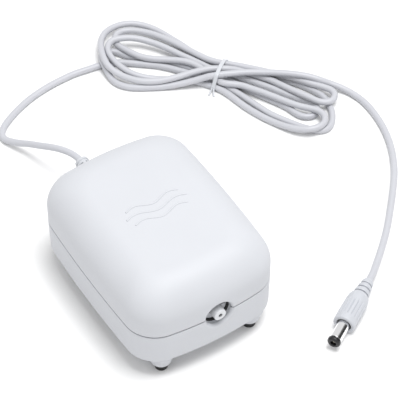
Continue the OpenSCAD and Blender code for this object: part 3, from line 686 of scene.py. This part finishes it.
def base_wall():
    """The base's one skin: up its outside, over its edge and down its inside, with its holes."""
    draft, edge, fillet = 0.3, 0.3, 1.3
    curve_in, curve_up = 2.0, 2.2  # the rounded edge underneath
    skirt, rim, floor = BOTTOM + curve_up, LOW_EDGE - edge, 13.3
    rows = [plan_ring(3.4, BOTTOM)]
    rows += [plan_ring(draft + curve_in * (1 - math.sin(t)), BOTTOM + curve_up * (1 - math.cos(t)))
             for t in quarter_turn(8)]
    rows += [plan_ring(draft * (1 - k / 10), skirt + (rim - skirt) * k / 10) for k in range(1, 11)]
    rows += [plan_ring(edge * (1 - math.cos(t)), rim + edge * math.sin(t)) for t in quarter_turn(4)[1:]]
    rows += [plan_ring(WALL, LOW_EDGE), plan_ring(WALL + 0.1, 20), plan_ring(WALL + draft, floor)]
    rows += [plan_ring(WALL + draft + fillet * (1 - math.cos(t)), floor - fillet * math.sin(t))
             for t in quarter_turn(5)[1:]]
    shell = boolean(loft("base", rows, 40), outlet_cutter())
    gland_hole = bore(40, 52, 4.0)
    shell = cut_round(shell, gland_hole, CORD_EXIT, BACK)
    filter_hole = [(8, 0), (8, 9.4), (11, 9.4), (11, 8.4), (16, 8.4), (16, 0)]
    shell = cut_round(shell, filter_hole, FILTER, UP, 96)
    screw_hole = [(8, 0), (8, 2.9), (11, 2.9), (11, 1.7), (16, 1.7), (16, 0)]
    for x, y in FEET.values():
        shell = cut_round(shell, screw_hole, (x, y, 0), UP, 48)
    return shell


def foot_bosses():
    """The round skirts under the casing that hold the rubber feet, blended into its underside."""
    profile = [(13, 1.7), (11, 1.7), (11, 2.9), (8.9, 2.9), (8.9, 3.05), (4.2, 3.05), (4.05, 3.15)]
    profile += [(4.0 + 1.5 * (1 - math.cos(t)), 3.3 + 1.5 * math.sin(t)) for t in quarter_turn(8)]
    profile += [(8.4, 4.95)]
    profile += [(8.6 + 1.5 * math.sin(t), 4.95 + 1.4 * (1 - math.cos(t))) for t in quarter_turn(6)]
    profile += [(10.3, 6.3), (13, 5.4), (13, 1.7)]
    return [lathe("boss", profile, (x, y, 0), UP, 72) for x, y in FEET.values()]


def base_posts():
    """The filter's ring, the screw posts and the pads that carry what stands inside."""
    ring = [(11, 8.4), (11, 10), (15.3, 10), (15.5, 9.8), (15.5, 8.6), (15.3, 8.4), (11, 8.4)]
    parts = [lathe("filter_ring", ring, FILTER, UP, 96)]
    block_posts = [(-21, -21, 15), (-21, 13, 15)]
    bracket_posts = [(-6, -24.5, 14), (6, -24.5, 14)]
    board_posts = [(11, -27, 18), (29, -27, 18), (11, 9, 18), (29, 9, 18)]
    core_posts = [(-22.3, 32.6, 18.8), (22.3, 32.6, 18.8)]
    for x, y, top in block_posts + bracket_posts + board_posts + core_posts:
        post = [(11, 1.0), (11, 3.2), (11.9, 3.2), (12.6, 2.4), (top - 0.15, 2.4), (top, 2.25), (top, 1.0),
                (11, 1.0)]
        parts.append(lathe("post", post, (x, y, 0), UP, 48))
    for low, high in (((-25, -17, 11), (-17, -12, 15)), ((-25, 4, 11), (-17, 9, 15)),
                      ((-18, 33, 11), (-15.6, 38, 20)), ((15.6, 33, 11), (18, 38, 20))):
        parts.append(box_piece("pad", low, high, 0.2))
    return parts


def nozzle_cradle():
    """The block that the nozzle's stem lies in, with a slot for its flange."""
    cradle = box_piece("cradle", (-5, -43.4, 11), (9, -40.1, 28), 0.2)
    cradle = cut_round(cradle, bore(-45, -38, 3.35), OUTLET, BACK)
    return boolean(cradle, box_piece("slot", (-3.2, -42.25, 23), (7.2, -40.75, 31), 0))


def base_lip():
    """The thin lip inside the seam that the cover slips over, cut away round the posts and the outlet."""
    rows = [(1.5, 24.5), (1.5, 27.5), (2.15, 27.5), (2.15, 29.8), (2.3, 30), (2.95, 30), (3.1, 29.8),
            (3.1, 24.5)]
    lip = loft("lip", [plan_ring(inset, z) for inset, z in rows], 30, closed=True)
    for x, y in FEET.values():
        lip = cut_round(lip, bore(20, 32, 4.4), (x, y, 0), UP, 48)
    return cut_round(lip, bore(-50, -40, HOLE_R), OUTLET, BACK)


def add_base():
    parts = [base_wall(), outlet_collar(10, LOW_EDGE), *foot_bosses(), *base_posts()]
    parts += [nozzle_cradle(), base_lip()]
    dress(merge("base", *parts), "casing", "housing", "base_shell")


def add_cover():
    """The domed cover: its inside from the top down, over its edge, and up its outside."""
    edge = 0.3
    rim, shoulder = HIGH_EDGE + edge, TOP - ROUND

    def dome(thick, steps):
        r = ROUND - thick
        return [plan_ring(thick + r * (1 - math.cos(t)), shoulder + r * math.sin(t))
                for t in quarter_turn(steps)]

    rows = [plan_ring(20, TOP - WALL), *reversed(dome(WALL, 16)), plan_ring(WALL, HIGH_EDGE)]
    rows += [plan_ring(edge * (1 - math.sin(t)), rim - edge * math.cos(t)) for t in quarter_turn(4)]
    rows += [plan_ring(0, rim + (shoulder - rim) * k / 6) for k in range(1, 6)]
    rows += dome(0, 40)
    rows += [plan_ring(inset, TOP) for inset in (18, 21, 25, 30)]
    parts = [boolean(loft("cover", rows, 40), outlet_cutter()), outlet_collar(HIGH_EDGE, 40)]
    post = [(26, 0.0), (26, 1.25), (13.2, 1.25), (13.2, 3.85), (13.35, 4.0), (40, 4.0), (45.6, 1.2),
            (45.6, 0.0)]
    for x, y in FEET.values():
        parts.append(lathe("post", post, (x, y, 0), UP, 48))
    dress(merge("cover", *parts), "casing", "housing", "top_cover")


def add_emblem():
    """Three raised wave lines on the top."""
    pitch, swing, length = 4.2, 1.3, 30
    lines = []
    for k in (-1, 0, 1):
        points = []
        for i in range(25):
            t = i / 24
            across = (t - 0.5) * (length - 4 * abs(k))
            points.append((across, k * pitch + swing * math.sin(t * math.tau * 1.5), TOP - 0.06))
        lines.append(wire("wave", points, 0.44, 14, 0.5))
    dress(merge("emblem", *lines), "casing", "housing")


add_base()
add_cover()
add_emblem()


# ---------------------------------------------------------------- outlet nozzle and the rings of painted shade

def add_nozzle():
    """The nozzle with its flange, and the barb on its side that the inner hose grips."""
    outer = [(-48.4, 1.0), (-48.4, 2.8), (-43.4, 3.1), (-42.1, 3.2), (-42.1, 4.8), (-40.9, 4.8), (-40.9, 3.2),
             (-34, 3.2), (-34, 0.0)]
    inner = [(-36, 0.0), (-36, 1.1), (-47.1, 1.1), (-48.1, 1.3)]
    body = lathe("nozzle", inner + round_corner(outer, 0.3, 4), OUTLET, BACK, 96)
    profile = [(-2.0, 0.0), (-2.0, 1.2), (-9.3, 1.2), (-9.4, 1.4), (-9.5, 1.9), (-7.6, 2.3), (-7.5, 1.95),
               (0, 1.95), (0, 0)]
    barb = lathe("barb", profile, (OUTLET[0], -37, SEAM), RIGHT, 64)
    dress(merge("nozzle", body, barb), "white_plastic", "housing", "outlet_nozzle")


def add_painted_shade_rings():
    """Black rubber rings behind the outlet hole, in the nozzle's bore and in the seam between the shells:
    painted shade, standing in for the shadow in these hollows.
    """
    # a black ring in the gap round the nozzle, behind the outlet hole: painted shade for the dark hollow
    # there
    ring = [(-44.8, 6.38), (-44.6, 6.0), (-42.9, 5.7), (-42.3, 3.3), (-42.15, 3.3), (-42.15, 6.38),
            (-44.8, 6.38)]
    recess_shade = lathe("outlet_painted_shade", ring, OUTLET, BACK, 96)
    # a black lining in the nozzle's bore: painted shade for the dark hole
    ring = [(-47.6, 1.09), (-47.5, 0.95), (-36.5, 0.95), (-36.4, 1.09), (-47.6, 1.09)]
    bore_shade = lathe("bore_painted_shade", ring, OUTLET, BACK, 48)
    dress(merge("outlet_painted_shade", recess_shade, bore_shade), "black_rubber", "housing")
    # a black ring in the seam between the shells: painted shade that darkens the seam line
    rows = [plan_ring(0.55, 27.7), plan_ring(0.5, 28), plan_ring(0.55, 28.3), plan_ring(1.6, 28.3),
            plan_ring(1.6, 27.7)]
    seam_shade = loft("seam_painted_shade", rows, 50, closed=True)
    dress(cut_round(seam_shade, bore(-50, -40, 8.0), OUTLET, BACK), "black_rubber", "housing")


add_nozzle()
add_painted_shade_rings()


# ---------------------------------------------------------------- diaphragm

def add_diaphragm():
    """The rolling disc between the arm and the pump chamber, built as one fixed piece; in the pump its rim
    stays and its middle goes with the arm.
    """
    profile = [(-15.5, 11.05), (-15.5, 12.5), (-10.8, 12.5), (-10, 11.6), (-9.6, 10.2), (-8.6, 9.2),
               (-6, 8.4), (-4.6, 7.2), (-3, 6), (-3, 1.2), (-4.35, 1.2), (-4.35, 5.6), (-5.2, 6.6),
               (-6.6, 7.6), (-9.2, 8.5), (-10.6, 9.6), (-11.1, 10.8), (-11.4, 11.05), (-15.5, 11.05)]
    disc = lathe("rolling_disc", profile, (0, -4, 29), RIGHT, 96, 50)
    dress(disc, "black_rubber", None, "diaphragm")
    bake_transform(disc)


add_diaphragm()


# ---------------------------------------------------------------- feet

def add_feet():
    """Plain round rubber feet, each in its boss."""
    profile = round_corner([(0, 0), (0, 2.9), (0.6, 3.0), (8.6, 3.0), (8.6, 0)], 0.9, 6)
    for node, (x, y) in FEET.items():
        foot = lathe(node + "_rubber", profile, (x, y, 0), UP, 72)
        dress(foot, "foot_rubber", "housing", node)


add_feet()


# ---------------------------------------------------------------- gland

def add_gland():
    """The tapered strain relief: rings with slots between them, which bars cross by turns on two sides."""
    pitch, slot, taper = 2.6, 1.1, 0.22
    ribs = [(54.0 + pitch * k, 4.0 - taper * k) for k in range(5)]
    profile = [(43, 0), (43, 4.8), (45.5, 4.8), (45.5, 3.9), (48.25, 3.9), (48.25, 4.5), (49.4, 4.6),
               (50.4, 4.2), (54, 4.0)]
    for y, r in ribs:
        core = max(1.95, r - 1.3)
        profile += [(y, core), (y + slot, core), (y + slot, r - 0.06), (y + pitch, r - taper)]
    profile += [(67.0, 3.3), (68.4, 3.2), (68.4, 0.0)]
    parts = [lathe("gland", round_corner(profile, 0.14, 3), CORD_EXIT, BACK, 72, 35)]
    half, front, back = 0.75, -0.1, 1.2
    for k, (y, r) in enumerate(ribs):
        for side in (-1, 1):
            low, high = sorted((1.5 * side, (r - 0.15) * side))
            if k % 2:
                corners = (low, y + front, 18 - half), (high, y + back, 18 + half)
            else:
                corners = (-half, y + front, 18 + low), (half, y + back, 18 + high)
            parts.append(box_piece("bar", *corners, 0.12))
    dress(merge("gland", *parts), "gland_plastic", "housing", "cord_gland")


add_gland()


# ---------------------------------------------------------------- plug

def add_grip():
    """The plug's overmoulded grip, fluted along its barrel, with three rings of strain relief behind."""
    flute_start, flute_end, flutes, depth = 14.6, 24.6, 16, 0.42
    profile = [(24.1, 0.0), (24.1, 3.1), (12.6, 3.1), (12.6, 3.35), (11.8, 3.4), (11.45, 3.6), (11.4, 4.5),
               (11.65, 4.9), (12.1, 5.1), (15.6, 5.1), (17.2, 5.1), (18.6, 5.08), (25.4, 5.0), (27.4, 4.8),
               (28.9, 4.3), (29.5, 3.95), (29.8, 3.75), (29.85, 2.8), (30.6, 2.8), (30.7, 3.5), (31.1, 3.6),
               (32.3, 3.5), (32.7, 3.3), (32.75, 2.5), (33.5, 2.5), (33.6, 3.1), (34.0, 3.2), (35.1, 3.1),
               (35.5, 2.9), (35.55, 2.2), (36.3, 2.2), (36.4, 2.7), (36.8, 2.8), (38.2, 2.6), (39.2, 2.1),
               (39.2, 0.0)]
    fine = []
    for (a0, r0), (a1, r1) in zip(profile, profile[1:]):
        parts = 14 if a0 >= 12 and a1 <= 27.4 else 2
        fine += [(a0 + (a1 - a0) * k / parts, r0 + (r1 - r0) * k / parts) for k in range(parts)]
    fine.append(profile[-1])

    def fluted(along, radius, turn):
        if not flute_start < along < flute_end or radius < 4:
            return radius
        fade = min(1.0, (along - flute_start) / 1.2, (flute_end - along) / 1.6)
        dip = max(0.0, math.cos(turn * flutes)) ** 3
        return radius - depth * dip * math.sin(fade * math.pi / 2)

    grip = lathe("plug_grip", fine, PLUG_TIP, PLUG_AXIS, 256, 35, fluted)
    return dress(grip, "plug_grip", "housing", "plug_overmold")


def add_plug_metal():
    """The dark ring in the grip's recess, the bright sleeve, the black tip and the contact in its hole."""
    def turned(name, profile, steps, smooth):
        return lathe(name, profile, PLUG_TIP, PLUG_AXIS, steps, smooth)

    ring = [(12.1, 2.8), (12.1, 3.3), (12.5, 3.3), (12.5, 2.8), (12.1, 2.8)]
    dress(turned("plug_recess_ring", ring, 96, 35), "black_plastic", "housing")
    sleeve = [(24, 2.35), (2.3, 2.35), (2.3, 2.75), (12.7, 2.75), (12.7, 3.05), (24, 3.05), (24, 2.35)]
    sleeve = round_corner(sleeve, 0.12, 3)
    dress(turned("plug_sleeve", sleeve, 128, 35), "plug_metal", "housing", "plug_barrel")
    tip = [(23, 1.6), (1.5, 1.6), (1.1, 1.3), (0.3, 1.3), (-0.1, 1.6), (0.0, 2.4), (0.7, 3.0), (1.9, 3.0),
           (2.2, 2.6), (2.2, 2.3), (23, 2.3), (23, 1.6)]
    tip = round_corner(tip, 0.3, 5)
    dress(turned("plug_tip", tip, 128, 40), "black_plastic", "housing", "plug_insulator")
    pin = [(22, 0.0), (22, 1.55), (1.7, 1.55), (1.7, 1.0), (13, 1.0), (13, 0.0)]
    pin = round_corner(pin, 0.15, 3)
    dress(turned("plug_inner_contact", pin, 96, 40), "contact_metal", "housing", "plug_contact")


plug = add_grip()
add_plug_metal()


# ---------------------------------------------------------------- floor and light

def add_sheet(name, corners, colour):
    """One flat face of the stage, in metres; returns its object and its shader."""
    mesh = bpy.data.meshes.new(name)
    mesh.from_pydata(corners, [], [(0, 1, 2, 3)])
    mat = bpy.data.materials.new(name)
    mat.use_nodes = True
    shader = mat.node_tree.nodes["Principled BSDF"]
    shader.inputs["Base Color"].default_value = (*colour, 1)
    mesh.materials.append(mat)
    sheet = link(name, mesh)
    return sheet, shader


def add_stage():
    _, shader = add_sheet("floor", [(-4, -4, 0), (4, -4, 0), (4, 4, 0), (-4, 4, 0)], (0.88, 0.88, 0.88))
    shader.inputs["Roughness"].default_value = 0.9
    shader.inputs["Specular IOR Level"].default_value = 0.1
    # a dark card low on the right, unseen itself, for the dark streak along the bright metal
    corners = [(0.80, -0.8, 0.0), (0.80, 0.1, 0.0), (0.80, 0.1, 1.2), (0.80, -0.8, 1.2)]
    card, _ = add_sheet("card", corners, (0.01, 0.01, 0.01))
    card.visible_camera = card.visible_diffuse = card.visible_shadow = False


def add_light():
    world = bpy.data.worlds.new("studio")
    world.use_nodes = True
    sky = world.node_tree.nodes["Background"]
    sky.inputs["Color"].default_value = (1.0, 1.0, 1.0, 1)
    sky.inputs["Strength"].default_value = 0.8
    bpy.context.scene.world = world
    bpy.context.scene.view_settings.view_transform = "Standard"
    data = bpy.data.lights.new("key", "AREA")
    data.shape = "SQUARE"
    data.size = 0.8
    data.energy = 23.0
    lamp = link("key", data)
    lamp.location = (0.22, -0.2, 1.7)
    lamp.rotation_euler = (Vector((0.03, 0.02, 0.0)) - lamp.location).to_track_quat("-Z", "Y").to_euler()


add_stage()
add_light()
